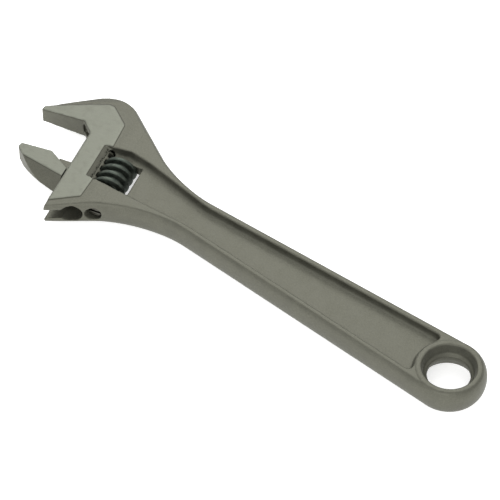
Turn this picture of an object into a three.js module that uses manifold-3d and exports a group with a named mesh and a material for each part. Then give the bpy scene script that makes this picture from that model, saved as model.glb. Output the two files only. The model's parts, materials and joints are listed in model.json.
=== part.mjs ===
// Adjustable wrench: a drop-forged body with a fixed jaw, a sliding jaw on a round rack,
// the worm that drives it, the screw pin that carries the worm, and the worm's spring.
// Millimetres. +X runs along the handle from the jaws to the hang hole, +Z is up, and the
// wrench lies flat with its origin under the middle of its bounding box.
import * as THREE from "three";
import { mergeVertices } from "three/addons/utils/BufferGeometryUtils.js";
import Module from "manifold-3d";

const wasm = await Module();
wasm.setup();

// ---- driving dimensions ----
const OVERALL_LENGTH = 208;
const HEAD_ANGLE = THREE.MathUtils.degToRad(15); // the jaws' tilt against the handle
const HEAD_OFFSET = 12.45; // the fixed jaw's face meets the neck this far off the handle's axis
const CLEARANCE = 0.3; // running gap between two pieces

// Jaws
const JAW_DEPTH = 22.4; // from the jaw tips to the neck face
const JAW_OPENING = 18.3; // the gap that the wrench is set to
const JAW_CAPACITY = 27; // the widest gap
const JAW_TIP_HALF = 3.25; // half thickness of the ground faces at the jaw tips
const TIP_RADIUS = 2.5; // rounding of the fixed jaw's tip
const TIP_CENTRE = 1; // height of that rounding's centre above the jaw's face
const NECK_HALF = 4.7; // half thickness of the ground faces at the neck
const GROUND_STEP = 0.35; // the ground faces stand this far above the forged skin
const GROUND_END = 11.2; // the ground faces end this far behind the neck face
const BACK_SLOPE = 0.287; // the fixed jaw's back falls away from its ground face
const BLADE_SLOPE = 0.9; // so does the sliding jaw's belly
const THROAT_DEPTH = 4.6; // notch at the foot of the fixed jaw's face, along the face
const THROAT_DROP = 4.8; // and down the neck
const END_FACE_DROP = 45; // the end face, in line with the neck face, lies this far down
const END_FACE_SLOPE = 0.44; // and rises by this much for each millimetre of depth

// Handle
const HANDLE_HALF = 5.1; // half thickness across the rims
const END_RADIUS = 13.55; // outer radius round the hang hole
const HANDLE_TAPER = 0.0385; // half width lost per millimetre towards the head
const SIDE_BULGE = 2.3; // how far the forged sides bow out to the parting line
const RIM_WIDTH = 3.5; // rim, from the parting line to the panel's edge
const PANEL_HALF = 2; // half thickness of the web between the two panels
const PANEL_FILLET = 1.3; // run of the rounded wall at the panel's foot
const BOSS_HALF = 5.35; // half thickness of the ring round the hang hole
const BOSS_RING = 3.2; // width of that ring's top face
const HOLE_RIM_RADIUS = 9.85;
const HOLE_WAIST_RADIUS = 7.7;
const HOLE_WAIST_HALF = 0.6;

// Rack and its bore
const RACK_AXIS = 9.1; // depth of the rack's axis behind the neck face
const RACK_RADIUS = 3.6;
const RACK_LENGTH = 24.2;
const RACK_GRIP = 7.3; // length of rack still in mesh with the worm at the widest gap
const WEB_HALF = 1.9; // half thickness of the web between jaw and rack
const SHOULDER_DEPTH = 9.2; // the blade's shoulder starts here, this far from the neck
const SHOULDER_DROP = 6.1; // and meets the neck this far below the sliding jaw's face
const BLADE_WIDTH = 16.2; // from the sliding jaw's face to its belly, at the neck

// Worm, pin and spring
const WORM_AXIS = 16.6; // depth of the worm's axis behind the neck face
const WORM_RADIUS = 6.4;
const WORM_ROOT_RADIUS = 4.3;
const WORM_LENGTH = 13.2;
const WORM_TOP = 12.1; // the worm starts this far below the fixed jaw's face
const THREAD_LEAD = 3.5; // single start, right-handed
const THREAD_CREST = 1.3; // axial width of the thread's crest
const THREAD_BASE = 2; // axial width of the thread at its root
const THREAD_START = -1.66; // the thread's angle at the worm's top end, in radians
const PIN_RADIUS = 1.5;
const PIN_REACH = 4; // the pin's hole goes this far into the body beyond the window
const PIN_HEAD_RADIUS = 2.7;
const PIN_HEAD_LENGTH = 7;
const PIN_HEAD_SETBACK = 1.6; // the head sits this far inside the end face
const DRIVER_SLOT = { width: 1, depth: 1.4 };
const SPRING_WIRE_RADIUS = 0.35;
const SPRING_TURNS = 4;
const SPRING_POCKET_DEPTH = 4.2;

// ---- worked-out dimensions ----
const BORE_RADIUS = RACK_RADIUS + CLEARANCE;
const SLOT_HALF = WEB_HALF + CLEARANCE;
const PIN_HOLE_RADIUS = PIN_RADIUS + CLEARANCE;
const PIN_HEAD_HOLE_RADIUS = PIN_HEAD_RADIUS + CLEARANCE;
const WORM_BOTTOM = WORM_TOP + WORM_LENGTH;
const RACK_LEAD = JAW_CAPACITY - WORM_BOTTOM + RACK_GRIP; // its reach beyond the sliding jaw's face
const WINDOW_TOP = WORM_TOP - CLEARANCE;
const WINDOW_BOTTOM = WORM_BOTTOM + CLEARANCE;
const WINDOW_NEAR = RACK_AXIS + 1.1; // the window's wall on the jaw side
const POCKET_TOP = WINDOW_TOP - 3.1; // the pocket round the worm, below the fixed jaw's face
const POCKET_BOTTOM = WINDOW_BOTTOM - 0.4;
const WINDOW_FAR = WORM_AXIS + WORM_RADIUS + 1.9;
const FACE_SLOPE = (NECK_HALF - JAW_TIP_HALF) / JAW_DEPTH;
const SPRING_RADIUS = PIN_RADIUS + CLEARANCE + SPRING_WIRE_RADIUS; // to the wire's centre
const SPRING_POCKET_RADIUS = SPRING_RADIUS + SPRING_WIRE_RADIUS + CLEARANCE;
const FAR = 80; // reaches past the whole head
const TOP = 12; // reaches above the whole wrench

// ---- the head's own frame ----
// x is the depth behind the neck face, y is 0 on the fixed jaw's face and negative below it.
// The rounded tip of the fixed jaw is the wrench's far end, so it sets where the head lies.
const tipReach =
  (JAW_DEPTH - TIP_RADIUS) * Math.cos(HEAD_ANGLE) + TIP_CENTRE * Math.sin(HEAD_ANGLE) + TIP_RADIUS;
const headX = END_RADIUS - OVERALL_LENGTH + tipReach;
const headFrame = new THREE.Matrix4()
  .makeTranslation(headX, HEAD_OFFSET, 0)
  .multiply(new THREE.Matrix4().makeRotationZ(HEAD_ANGLE));

function fromHead(x, y, radius = 0) {
  const point = new THREE.Vector3(x, y, 0).applyMatrix4(headFrame);
  return [point.x, point.y, radius];
}

// ---- small tools ----

// A closed outline through corners [x, y, radius], each corner rounded by its radius.
function roundedShape(corners, arcSteps = 6) {
  const points = [];
  corners.forEach(([x, y, radius = 0], i) => {
    const corner = new THREE.Vector2(x, y);
    const [px, py] = corners[(i + corners.length - 1) % corners.length];
    const [nx, ny] = corners[(i + 1) % corners.length];
    const back = new THREE.Vector2(px, py).sub(corner).normalize();
    const ahead = new THREE.Vector2(nx, ny).sub(corner).normalize();
    if (radius === 0) {
      points.push(corner);
      return;
    }
    const halfAngle = Math.acos(THREE.MathUtils.clamp(back.dot(ahead), -1, 1)) / 2;
    const reach = radius / Math.tan(halfAngle);
    const middle = back.clone().add(ahead).normalize();
    const centre = middle.multiplyScalar(radius / Math.sin(halfAngle)).add(corner);
    const start = back.multiplyScalar(reach).add(corner).sub(centre).angle();
    const end = ahead.multiplyScalar(reach).add(corner).sub(centre).angle();
    const turn = THREE.MathUtils.euclideanModulo(end - start + Math.PI, 2 * Math.PI) - Math.PI;
    for (let step = 0; step <= arcSteps; step++) {
      const angle = start + (turn * step) / arcSteps;
      const rim = new THREE.Vector2(Math.cos(angle), Math.sin(angle));
      points.push(rim.multiplyScalar(radius).add(centre));
    }
  });
  const apart = (point, i) => point.distanceTo(points[(i + 1) % points.length]) > 1e-3;
  return new THREE.Shape(points.filter(apart));
}

// A three.js geometry as a manifold-3d solid.
function solidOf(geometry) {
  const bare = geometry.clone();
  bare.deleteAttribute("normal");
  bare.deleteAttribute("uv");
  const merged = mergeVertices(bare, 1e-4);
  return new wasm.Manifold(
    new wasm.Mesh({
      numProp: 3,
      vertProperties: new Float32Array(merged.attributes.position.array),
      triVerts: new Uint32Array(merged.index.array),
    }),
  );
}

function geometryOf(solid) {
  const { numProp, vertProperties, triVerts } = solid.getMesh();
  const positions = new Float32Array(triVerts.length * 3);
  triVerts.forEach((vertex, i) => {
    positions.set(vertProperties.subarray(vertex * numProp, vertex * numProp + 3), i * 3);
  });
  const geometry = new THREE.BufferGeometry();
  geometry.setAttribute("position", new THREE.BufferAttribute(positions, 3));
  geometry.computeVertexNormals();
  return geometry;
}

// A straight-sided slab of an outline between two heights.
function slab(shape, bottom, top) {
  const geometry = new THREE.ExtrudeGeometry(shape, { depth: top - bottom, bevelEnabled: false });
  return geometry.translate(0, 0, bottom);
}

// A slab, from -half to +half, whose sides bow out by bulge to the outline at mid height.
function bulgedSlab(shape, half, bulge, segments) {
  const land = 0.2;
  const geometry = new THREE.ExtrudeGeometry(shape, {
    depth: land,
    bevelThickness: half - land / 2,
    bevelSize: bulge,
    bevelOffset: -bulge,
    bevelSegments: segments,
  });
  return geometry.translate(0, 0, -land / 2);
}

function headBox(x0, x1, y0, y1, z0, z1) {
  const box = new THREE.BoxGeometry(x1 - x0, y1 - y0, z1 - z0);
  return solidOf(box.translate((x0 + x1) / 2, (y0 + y1) / 2, (z0 + z1) / 2));
}

// A round bar along the head's y axis, at a depth behind the neck face.
function headBar(depth, radius, y0, y1, sides = 28) {
  const bar = new THREE.CylinderGeometry(radius, radius, y1 - y0, sides);
  return solidOf(bar.translate(depth, (y0 + y1) / 2, 0));
}

const toHandle = (solid) => solid.transform(headFrame.toArray());

const mirrorDown = (solid) => solid.mirror([0, 0, 1]);

// Everything above a plane that holds the line from a to b and falls away by slope on the
// left of the way from a to b. It reaches no further than a and b.
function flankCutter(a, b, heightA, heightB, slope) {
  const along = new THREE.Vector3(b[0] - a[0], b[1] - a[1], heightB - heightA);
  const length = along.length();
  const reach = 40;
  const section = roundedShape([
    [0, 0],
    [reach, -reach * slope],
    [reach, TOP * 2],
    [0, TOP * 2],
  ]);
  const wedge = new THREE.ExtrudeGeometry(section, { depth: length, bevelEnabled: false });
  const ahead = along.normalize();
  const out = new THREE.Vector3(-ahead.y, ahead.x, 0).normalize();
  const up = new THREE.Vector3().crossVectors(ahead, out);
  const basis = new THREE.Matrix4().makeBasis(out, up, ahead);
  return solidOf(wedge.applyMatrix4(basis.setPosition(a[0], a[1], heightA)));
}

// Half the thickness between the ground faces at a depth behind the neck face.
const groundHalf = (x) => NECK_HALF + FACE_SLOPE * x;

// Everything above the ground faces' plane, lowered by drop, within a stretch of depth.
function aboveGroundFace(drop, x0, x1) {
  const heightAt = (x) => groundHalf(x) - drop;
  const section = roundedShape([
    [x0, heightAt(x0)],
    [x1, heightAt(x1)],
    [x1, TOP],
    [x0, TOP],
  ]);
  const block = new THREE.ExtrudeGeometry(section, { depth: 2 * FAR, bevelEnabled: false });
  return solidOf(block.rotateX(Math.PI / 2).translate(0, FAR, 0));
}

const material = (color, roughness, metalness) =>
  new THREE.MeshStandardMaterial({ color, roughness, metalness });

function meshOf(name, solid, finish) {
  const mesh = new THREE.Mesh(geometryOf(solid), finish);
  mesh.name = name;
  return mesh;
}

const phosphated = material("#77776c", 0.55, 0.8);
const groundSteel = material("#8f8f86", 0.45, 0.9);
const blackOxide = material("#2c332e", 0.5, 0.7);
const springSteel = material("#6b6b68", 0.35, 1);

// ---- the body ----

// The handle's straight edges are tangent to the round end.
const handleHalfWidth = (x) => END_RADIUS * Math.hypot(1, HANDLE_TAPER) + HANDLE_TAPER * x;

// A point of the handle's upper or lower edge, as far towards the hole from the head's root as
// run says.
const edgePoint = (run, side, radius) => {
  const x = headX + run;
  return [x, side * handleHalfWidth(x), radius];
};

// The forging's outline at the parting line, round the handle, the head and past the mouth.
function forgingOutline() {
  return roundedShape(
    [
      [END_RADIUS, handleHalfWidth(END_RADIUS), END_RADIUS],
      edgePoint(44, 1, 55),
      fromHead(4.1, 20.2, 14),
      fromHead(-JAW_DEPTH, TIP_CENTRE + 0.53 * TIP_RADIUS, TIP_RADIUS),
      fromHead(-JAW_DEPTH, -30),
      fromHead(-8, -49),
      edgePoint(40.6, -1, 50),
      [END_RADIUS, -handleHalfWidth(END_RADIUS), END_RADIUS],
    ],
    10,
  );
}

// The pad that is ground flat on each side: the jaw, the neck and down to the end face.
function groundPad() {
  const outline = roundedShape([
    [-JAW_DEPTH - 2, 1.5],
    [-21.2, 2.5],
    [-18, 3.7],
    [-5.7, 8.8],
    [0.8, 11],
    [3, 10.6],
    [GROUND_END - 0.6, 3.2],
    [GROUND_END, -8],
    [GROUND_END, -25],
    [GROUND_END - 0.6, -35.4],
    [5.1, -38.4],
    [-3, -43],
    [-JAW_DEPTH - 2, -43],
  ]);
  return solidOf(slab(outline, 0, TOP / 2));
}

// The forged blank with its two ground pads, before any hole is made.
function forging() {
  const blank = solidOf(bulgedSlab(forgingOutline(), HANDLE_HALF, SIDE_BULGE, 4));
  const skin = aboveGroundFace(GROUND_STEP, -FAR, GROUND_END + GROUND_STEP);
  const plane = aboveGroundFace(0, -FAR, GROUND_END + JAW_DEPTH);
  let pad = groundPad().subtract(plane);
  pad = toHandle(pad).intersect(solidOf(slab(forgingOutline(), 0, TOP)));
  let body = blank.subtract(toHandle(skin)).subtract(toHandle(mirrorDown(skin)));
  body = body.add(pad).add(mirrorDown(pad));
  return body;
}

// The back of the fixed jaw falls away outside its ground face.
function jawFlank() {
  const start = [-JAW_DEPTH - 4, 1.35];
  const end = [30, 22.2];
  return toHandle(flankCutter(start, end, groundHalf(start[0]), groundHalf(end[0]), BACK_SLOPE));
}

function mouth() {
  const outline = roundedShape([
    [-FAR, 0],
    [-FAR, -FAR],
    [0, -FAR],
    [0, -THROAT_DROP, 2],
    [-THROAT_DEPTH, 0, 1],
  ]);
  return toHandle(solidOf(slab(outline, -TOP, TOP)));
}

// How far below the fixed jaw's face the end face lies at a depth behind the neck face.
const endFaceBelow = (depth) => END_FACE_DROP - END_FACE_SLOPE * depth;

// The flat end face below the neck, and the blend from it into the handle's edge.
function endFaceCut() {
  const near = -8;
  const crest = 17.6;
  const outline = roundedShape([
    [near, -endFaceBelow(near)],
    [crest, -endFaceBelow(crest)],
    [crest + 10.2, 1.3 - endFaceBelow(crest)],
    [crest + 10.2, -FAR],
    [near, -FAR],
  ]);
  return toHandle(solidOf(slab(outline, -TOP, TOP)));
}

// The recess on one side: the panel along the handle, opening into the worm's pocket.
function panelRecess() {
  const ringRadius = HOLE_RIM_RADIUS + BOSS_RING;
  const cornerRadius = PANEL_FILLET + 0.5;
  const inside = ([x, y, radius]) => [x, y - Math.sign(y) * RIM_WIDTH, radius];
  const nearHole = END_RADIUS - ringRadius - 10;
  const holeEnd = [nearHole, handleHalfWidth(nearHole) - RIM_WIDTH, cornerRadius];
  const outline = roundedShape([
    holeEnd,
    inside(edgePoint(58.6, 1, 40)),
    fromHead(27.6, -10.6, 8),
    fromHead(18.9, -8, 3),
    fromHead(WINDOW_NEAR, -POCKET_TOP, cornerRadius),
    fromHead(WINDOW_NEAR, -POCKET_BOTTOM, cornerRadius),
    inside(edgePoint(58.6, -1, 60)),
    [holeEnd[0], -holeEnd[1], cornerRadius],
    [-ringRadius, 0, 10],
  ]);
  const geometry = new THREE.ExtrudeGeometry(outline, {
    depth: TOP / 2,
    bevelThickness: HANDLE_HALF - PANEL_HALF,
    bevelSize: PANEL_FILLET,
    bevelOffset: -PANEL_FILLET,
    bevelSegments: 3,
  });
  return solidOf(geometry.translate(0, 0, HANDLE_HALF));
}

// The pocket's wall on the jaw side slopes down over the rack's bore to the window.
function pocketLip() {
  const crest = RACK_AXIS - 2;
  const footHeight = BORE_RADIUS;
  const section = roundedShape([
    [crest, HANDLE_HALF + 0.5],
    [WINDOW_NEAR, footHeight],
    [WINDOW_NEAR + 1, footHeight],
    [WINDOW_NEAR + 1, TOP],
    [crest, TOP],
  ]);
  const length = POCKET_BOTTOM - POCKET_TOP;
  const block = new THREE.ExtrudeGeometry(section, { depth: length, bevelEnabled: false });
  return toHandle(solidOf(block.rotateX(Math.PI / 2).translate(0, -POCKET_TOP, 0)));
}

// The ring round the hang hole, slightly proud of the rims.
function boss() {
  const foot = END_RADIUS - 0.1;
  const crest = HOLE_RIM_RADIUS + BOSS_RING - 1;
  const profile = [
    [0, -BOSS_HALF],
    [crest, -BOSS_HALF],
    [crest + 1, -BOSS_HALF + 0.8],
    [foot, 0],
    [crest + 1, BOSS_HALF - 0.8],
    [crest, BOSS_HALF],
    [0, BOSS_HALF],
  ];
  const points = profile.map(([r, z]) => new THREE.Vector2(r, z));
  return solidOf(new THREE.LatheGeometry(points, 48).rotateX(Math.PI / 2));
}

// The hang hole narrows from each rim to a short punched waist.
function hangHole() {
  const over = 1;
  const grow = (HOLE_RIM_RADIUS - HOLE_WAIST_RADIUS) / (BOSS_HALF - HOLE_WAIST_HALF);
  const mouthRadius = HOLE_RIM_RADIUS + grow * over;
  const profile = [
    [0, -BOSS_HALF - over],
    [mouthRadius, -BOSS_HALF - over],
    [HOLE_WAIST_RADIUS, -HOLE_WAIST_HALF],
    [HOLE_WAIST_RADIUS, HOLE_WAIST_HALF],
    [mouthRadius, BOSS_HALF + over],
    [0, BOSS_HALF + over],
  ];
  const points = profile.map(([r, z]) => new THREE.Vector2(r, z));
  return solidOf(new THREE.LatheGeometry(points, 48).rotateX(Math.PI / 2));
}

// The bore and slot that the rack and its web slide in, the worm's window and the pin's holes.
function headHoles() {
  const rackBore = headBar(RACK_AXIS, BORE_RADIUS, -FAR, RACK_LEAD + 1);
  const webSlot = headBox(-5, RACK_AXIS, -FAR, 1, -SLOT_HALF, SLOT_HALF);
  const wormWindow = headBox(WINDOW_NEAR, WINDOW_FAR, -WINDOW_BOTTOM, -WINDOW_TOP, -TOP, TOP);
  const pinHole = headBar(WORM_AXIS, PIN_HOLE_RADIUS, -pinHeadTop(), -WINDOW_TOP + PIN_REACH, 20);
  const headHole = headBar(WORM_AXIS, PIN_HEAD_HOLE_RADIUS, -FAR, -pinHeadTop() + CLEARANCE, 24);
  return toHandle(rackBore.add(webSlot).add(wormWindow).add(pinHole).add(headHole));
}

// How far below the fixed jaw's face the pin's head begins.
function pinHeadTop() {
  return endFaceBelow(WORM_AXIS) - PIN_HEAD_SETBACK - PIN_HEAD_LENGTH;
}

function makeBody() {
  const recess = panelRecess().add(pocketLip());
  const flank = jawFlank();
  let body = forging().add(boss());
  for (const cutter of [flank, mirrorDown(flank), mouth(), endFaceCut()]) body = body.subtract(cutter);
  for (const cutter of [recess, mirrorDown(recess), hangHole(), headHoles()]) {
    body = body.subtract(cutter);
  }
  return meshOf("body", body, phosphated);
}

// ---- the worm ----

// A screw along y: a round core with one trapezoid thread, made from its cross-section, which
// turns once per lead as it climbs. grow widens it all over, as a cutter for its nut.
function screw(length, grow) {
  const root = WORM_ROOT_RADIUS + grow;
  const crest = WORM_RADIUS + grow;
  const crestHalf = (Math.PI * (THREAD_CREST + 2 * grow)) / THREAD_LEAD;
  const baseHalf = (Math.PI * (THREAD_BASE + 2 * grow)) / THREAD_LEAD;
  const arc = (radius, from, to, steps) =>
    Array.from({ length: steps + 1 }, (_, i) => {
      const angle = from + ((to - from) * i) / steps;
      return new THREE.Vector2(radius * Math.cos(angle), radius * Math.sin(angle));
    });
  const section = new THREE.Shape([
    ...arc(crest, -crestHalf, crestHalf, 7),
    ...arc(root, baseHalf, 2 * Math.PI - baseHalf, 8),
  ]);
  const stepsPerTurn = 20;
  const steps = Math.ceil((length / THREAD_LEAD) * stepsPerTurn);
  const geometry = new THREE.ExtrudeGeometry(section, { depth: length, steps, bevelEnabled: false });
  // Right-handed about +z: a point that climbs by one lead turns once anticlockwise.
  const position = geometry.attributes.position;
  const axis = new THREE.Vector3(0, 0, 1);
  const point = new THREE.Vector3();
  for (let i = 0; i < position.count; i++) {
    point.fromBufferAttribute(position, i);
    point.applyAxisAngle(axis, (2 * Math.PI * point.z) / THREAD_LEAD);
    position.setXYZ(i, point.x, point.y, point.z);
  }
  return geometry;
}

// The screw in the head's frame, starting start below the fixed jaw's face and pointing down.
function placedScrew(start, length, grow) {
  const phase = (2 * Math.PI * (start - WORM_TOP)) / THREAD_LEAD;
  const geometry = screw(length, grow).rotateZ(phase + THREAD_START);
  return solidOf(geometry.rotateX(Math.PI / 2).translate(WORM_AXIS, -start, 0));
}

function makeWorm() {
  let worm = placedScrew(WORM_TOP, WORM_LENGTH, 0);
  worm = worm.subtract(headBar(WORM_AXIS, PIN_HOLE_RADIUS, -WORM_BOTTOM - 1, -WORM_TOP + 1, 20));
  const pocketTop = -WORM_BOTTOM + SPRING_POCKET_DEPTH;
  const pocket = headBar(WORM_AXIS, SPRING_POCKET_RADIUS, -WORM_BOTTOM - 1, pocketTop, 20);
  return meshOf("worm", toHandle(worm.subtract(pocket)), blackOxide);
}

// ---- the sliding jaw ----

function jawBlade() {
  const face = -JAW_OPENING;
  const outline = roundedShape([
    [-JAW_DEPTH + 0.6, face],
    [-SHOULDER_DEPTH, face],
    [-CLEARANCE, face - SHOULDER_DROP],
    [-CLEARANCE, face - BLADE_WIDTH],
    [-3.6, face - BLADE_WIDTH + 1, 3],
    [-13.2, face - BLADE_WIDTH + 5.6, 40],
    [-JAW_DEPTH, face - 2.1, 1.5],
  ]);
  const start = [14, face - 14.1];
  const end = [-JAW_DEPTH - 4, face - 3.1];
  const belly = flankCutter(start, end, groundHalf(start[0]), groundHalf(end[0]), BLADE_SLOPE);
  let blade = solidOf(slab(outline, -TOP / 2, TOP / 2));
  for (const cutter of [aboveGroundFace(0, -FAR, FAR), belly]) {
    blade = blade.subtract(cutter).subtract(mirrorDown(cutter));
  }
  return blade;
}

// The thin web from the blade, through the body's slot, to the rack.
function jawWeb(rackBottom) {
  const face = -JAW_OPENING;
  const outline = roundedShape([
    [-SHOULDER_DEPTH + 3.2, face - 0.6],
    [-CLEARANCE - 1.2, face - 9],
    [-CLEARANCE, rackBottom],
    [RACK_AXIS, rackBottom],
    [RACK_AXIS, face - 0.6],
  ]);
  return solidOf(slab(outline, -WEB_HALF, WEB_HALF));
}

// The round bar with its teeth, cut by the worm's own thread, widened by the running gap.
function makeSlidingJaw() {
  const rackTop = RACK_LEAD - JAW_OPENING;
  const rackBottom = rackTop - RACK_LENGTH;
  const flatDepth = WORM_AXIS - WORM_ROOT_RADIUS - CLEARANCE;
  const flat = headBox(flatDepth, FAR, -FAR, FAR, -TOP, TOP);
  const turnsBefore = Math.ceil((WORM_TOP + rackTop) / THREAD_LEAD) + 1;
  const threadStart = WORM_TOP - THREAD_LEAD * turnsBefore;
  const threads = placedScrew(threadStart, RACK_LENGTH + 3 * THREAD_LEAD, CLEARANCE);
  const bar = jawWeb(rackBottom).add(headBar(RACK_AXIS, RACK_RADIUS, rackBottom, rackTop));
  const toothed = bar.subtract(flat).subtract(threads);
  return meshOf("sliding_jaw", toHandle(jawBlade().add(toothed)), groundSteel);
}

// ---- the pin and the spring ----

function makePin() {
  const shankTop = -WINDOW_TOP + PIN_REACH - CLEARANCE;
  const headTop = -pinHeadTop();
  const headBottom = headTop - PIN_HEAD_LENGTH;
  const shank = headBar(WORM_AXIS, PIN_RADIUS, headTop - 1, shankTop, 20);
  const head = headBar(WORM_AXIS, PIN_HEAD_RADIUS, headBottom, headTop, 24);
  const { width, depth } = DRIVER_SLOT;
  const driverSlot = headBox(0, FAR, headBottom - 1, headBottom + depth, -width / 2, width / 2);
  return meshOf("worm_pin", toHandle(shank.add(head).subtract(driverSlot)), groundSteel);
}

class SpringHelix extends THREE.Curve {
  constructor(length) {
    super();
    this.length = length;
  }

  getPoint(t, target = new THREE.Vector3()) {
    const angle = t * SPRING_TURNS * 2 * Math.PI;
    return target.set(SPRING_RADIUS * Math.cos(angle), t * this.length, SPRING_RADIUS * Math.sin(angle));
  }
}

function makeSpring() {
  const bottom = -WINDOW_BOTTOM + CLEARANCE + SPRING_WIRE_RADIUS;
  const top = -WORM_BOTTOM + SPRING_POCKET_DEPTH - CLEARANCE - SPRING_WIRE_RADIUS;
  const wire = new THREE.Shape().absarc(0, 0, SPRING_WIRE_RADIUS, 0, 2 * Math.PI);
  const geometry = new THREE.ExtrudeGeometry(wire, {
    steps: 16 * SPRING_TURNS,
    curveSegments: 6,
    extrudePath: new SpringHelix(top - bottom),
  });
  return meshOf("worm_spring", toHandle(solidOf(geometry.translate(WORM_AXIS, bottom, 0))), springSteel);
}

// ---- the wrench ----

const wrench = new THREE.Group();
wrench.add(makeBody(), makeSlidingJaw(), makeWorm(), makePin(), makeSpring());
const box = new THREE.Box3().setFromObject(wrench);
const centre = box.getCenter(new THREE.Vector3());
wrench.position.set(-centre.x, -centre.y, -box.min.z);
wrench.updateMatrixWorld(true);

export default wrench;
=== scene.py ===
# %% [markdown]
# # An adjustable wrench
# The wrench is a drop-forged steel body with a fixed jaw, a sliding jaw whose round rack runs in a
# bore across the head, a worm that the thumb turns, the pin that carries the worm, and a spring.
# The frame that is loaded first holds every size, place and joint. Blender only gives the pieces
# their finished shape and surface, so each new piece is built where the frame says.

# %% Load the frame
import json
import math
import bpy
from mathutils import Matrix, Vector


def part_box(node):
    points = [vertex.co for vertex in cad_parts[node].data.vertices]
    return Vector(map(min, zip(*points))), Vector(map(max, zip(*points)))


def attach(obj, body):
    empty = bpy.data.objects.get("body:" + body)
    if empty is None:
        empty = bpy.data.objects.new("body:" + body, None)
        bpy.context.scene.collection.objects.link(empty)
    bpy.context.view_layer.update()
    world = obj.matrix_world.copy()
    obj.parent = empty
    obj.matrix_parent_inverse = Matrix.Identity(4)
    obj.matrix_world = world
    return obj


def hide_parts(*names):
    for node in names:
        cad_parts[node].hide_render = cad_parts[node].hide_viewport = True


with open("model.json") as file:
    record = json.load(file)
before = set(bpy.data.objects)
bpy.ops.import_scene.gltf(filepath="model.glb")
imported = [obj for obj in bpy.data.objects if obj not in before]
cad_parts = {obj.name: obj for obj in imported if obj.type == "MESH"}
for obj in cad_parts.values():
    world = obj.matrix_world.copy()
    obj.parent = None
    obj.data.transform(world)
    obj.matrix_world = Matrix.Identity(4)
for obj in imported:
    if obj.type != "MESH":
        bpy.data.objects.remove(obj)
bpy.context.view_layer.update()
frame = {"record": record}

# %% [markdown]
# ## Two frames to work in
# The handle is drawn about the hang hole's centre, and the head about the corner where the fixed
# jaw meets the neck, turned by 15 degrees. Both come from the record: the jaw's slide gives the
# head's direction, and the mount on the fixed jaw's face and the hole's ring give the two origins.
# Working in millimetres in these two frames keeps the numbers the ones a maker would measure.

# %% The handle's and the head's frames
MM = 0.001
END_RADIUS = 13.55
FACE_MOUNT_DEPTH = 12

record = frame["record"]
joints = {joint["name"]: joint for joint in record["behaviour"]["joints"]}
mounts = {mount["name"]: Vector(mount["pos_m"]) for mount in record["mounts"]}
slide_axis = Vector(joints["jaw_slide"]["axis"])
head_angle = math.atan2(slide_axis.x, -slide_axis.y)
head_turn = Matrix.Rotation(head_angle, 4, "Z")
middle_height = mounts["fixed_jaw_face"].z

hole_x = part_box("body")[1][0] - END_RADIUS * MM
HANDLE = Matrix.Translation((hole_x, mounts["hang_hole_rim"].y, middle_height))
head_root = mounts["fixed_jaw_face"] + head_turn @ Vector((FACE_MOUNT_DEPTH * MM, 0, 0))
HEAD = Matrix.Translation(head_root) @ head_turn
HEAD_FROM_HANDLE = HANDLE.inverted() @ HEAD
head_x = HEAD_FROM_HANDLE.translation.x / MM
print("head turned by", round(math.degrees(head_angle), 2), "degrees, root at", round(head_x, 2))

# %% [markdown]
# ## The camera
# A long lens a metre away flattens the perspective, as in a catalogue picture. The camera looks
# down at the wrench from the hole's end and the sliding jaw's side.

# %% Camera
CAMERA_AZIMUTH = math.radians(38.25)
CAMERA_ELEVATION = math.radians(49.43)
CAMERA_DISTANCE = 1038.0
LENS = 205.5
LOOK_AT = Vector((-90.6, 2.5, 0))

back = Vector((
    math.sin(CAMERA_AZIMUTH) * math.cos(CAMERA_ELEVATION),
    -math.cos(CAMERA_AZIMUTH) * math.cos(CAMERA_ELEVATION),
    math.sin(CAMERA_ELEVATION),
))
camera_data = bpy.data.cameras.new("camera")
camera_data.lens = LENS
camera_data.sensor_width = 36
camera_data.clip_start = 0.05
camera = bpy.data.objects.new("camera", camera_data)
bpy.context.collection.objects.link(camera)
camera.location = HANDLE @ ((LOOK_AT + back * CAMERA_DISTANCE) * MM)
camera.rotation_euler = (-back).to_track_quat("-Z", "Y").to_euler()
bpy.context.scene.camera = camera
print("camera at", [round(value, 3) for value in camera.location])

# %% [markdown]
# ## Tools for drawing and cutting
# A wrench's outlines are straight runs joined by arcs. One vertex is walked round the corners by
# extruding it, the loop is filled, and each corner is rounded with a vertex bevel, which is how
# the outline would be drawn by hand. From there the face is extruded or inset into a solid, and
# the solids are joined and cut with Boolean modifiers that are applied at once.

# %% Selecting and placing
def only(piece):
    """Selects one object alone and makes it active."""
    bpy.ops.object.select_all(action="DESELECT")
    piece.select_set(True)
    bpy.context.view_layer.objects.active = piece
    return piece


def face_outwards(piece):
    """Turns every face of a closed shape outwards."""
    only(piece)
    bpy.ops.object.mode_set(mode="EDIT")
    bpy.ops.mesh.select_all(action="SELECT")
    bpy.ops.mesh.normals_make_consistent(inside=False)
    bpy.ops.object.mode_set(mode="OBJECT")
    return piece


def place(piece, matrix):
    """Moves a finished shape into a frame and leaves its object at the origin, unturned."""
    only(piece)
    piece.matrix_world = matrix
    bpy.ops.object.transform_apply(location=True, rotation=True, scale=True)
    return piece


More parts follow.
